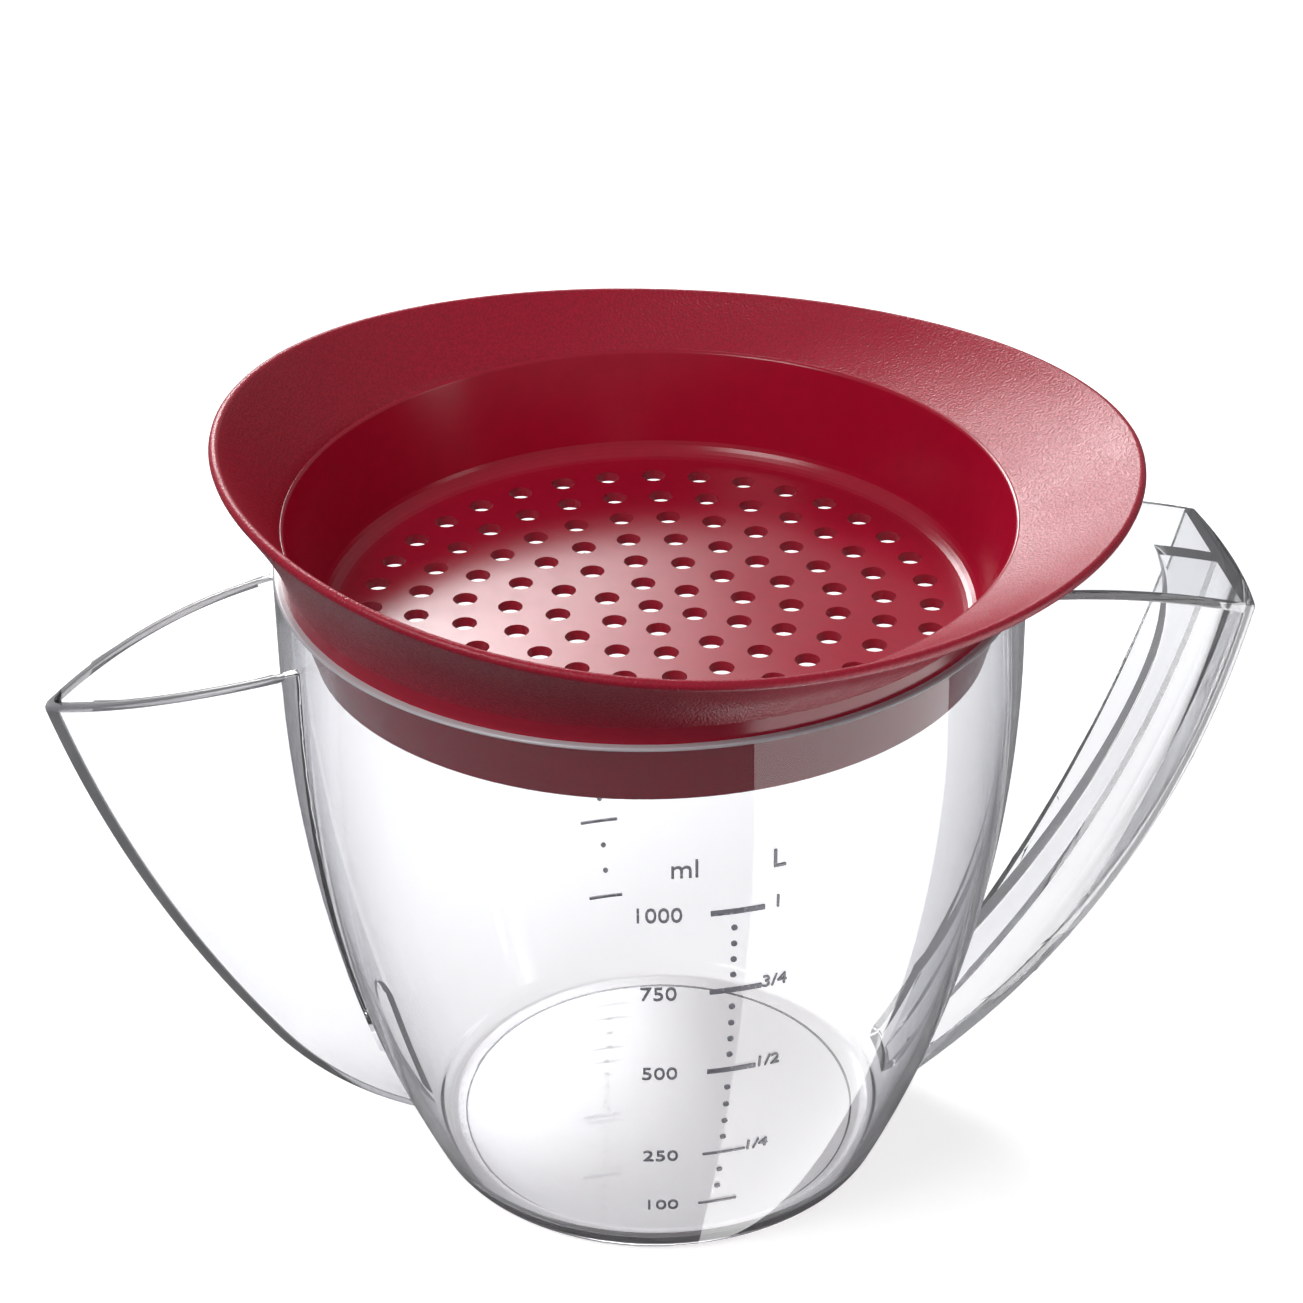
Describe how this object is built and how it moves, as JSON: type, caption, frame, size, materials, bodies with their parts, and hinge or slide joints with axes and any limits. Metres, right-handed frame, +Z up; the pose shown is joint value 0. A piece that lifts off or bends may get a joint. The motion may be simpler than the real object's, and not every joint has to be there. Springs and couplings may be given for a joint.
{
  "type": "gravy fat separator",
  "caption": "Clear jug with a spout drawing from its base, looped handle, measuring scale and a lift-out strainer with a tilted catching flange.",
  "frame": {"origin": "centre of the jug's foot, on the surface it stands on", "axes": "+Z up along the jug's axis, +X towards the handle, -X towards the spout"},
  "size_m": [0.2241, 0.1562, 0.1547],
  "materials": {
    "clear": "polished clear plastic",
    "red_gloss": "glossy",
    "red_matte": "fine matt grain"
  },
  "bodies": {
    "jug": {"jug_wall": "clear", "jug_base": "clear", "spout": "clear", "handle_arm": "clear", "handle_grip": "clear", "handle_rib": "clear", "scale_front": "clear", "scale_back": "clear"},
    "strainer": {"strainer_bowl": "red_gloss", "strainer_floor": "red_gloss", "strainer_flange": "red_matte"}
  },
  "joints": [
    {"name": "strainer_lift", "type": "slide", "parent": "jug", "child": "strainer", "axis": [0, 0, 1], "range_m": [0, 0.04]}
  ]
}
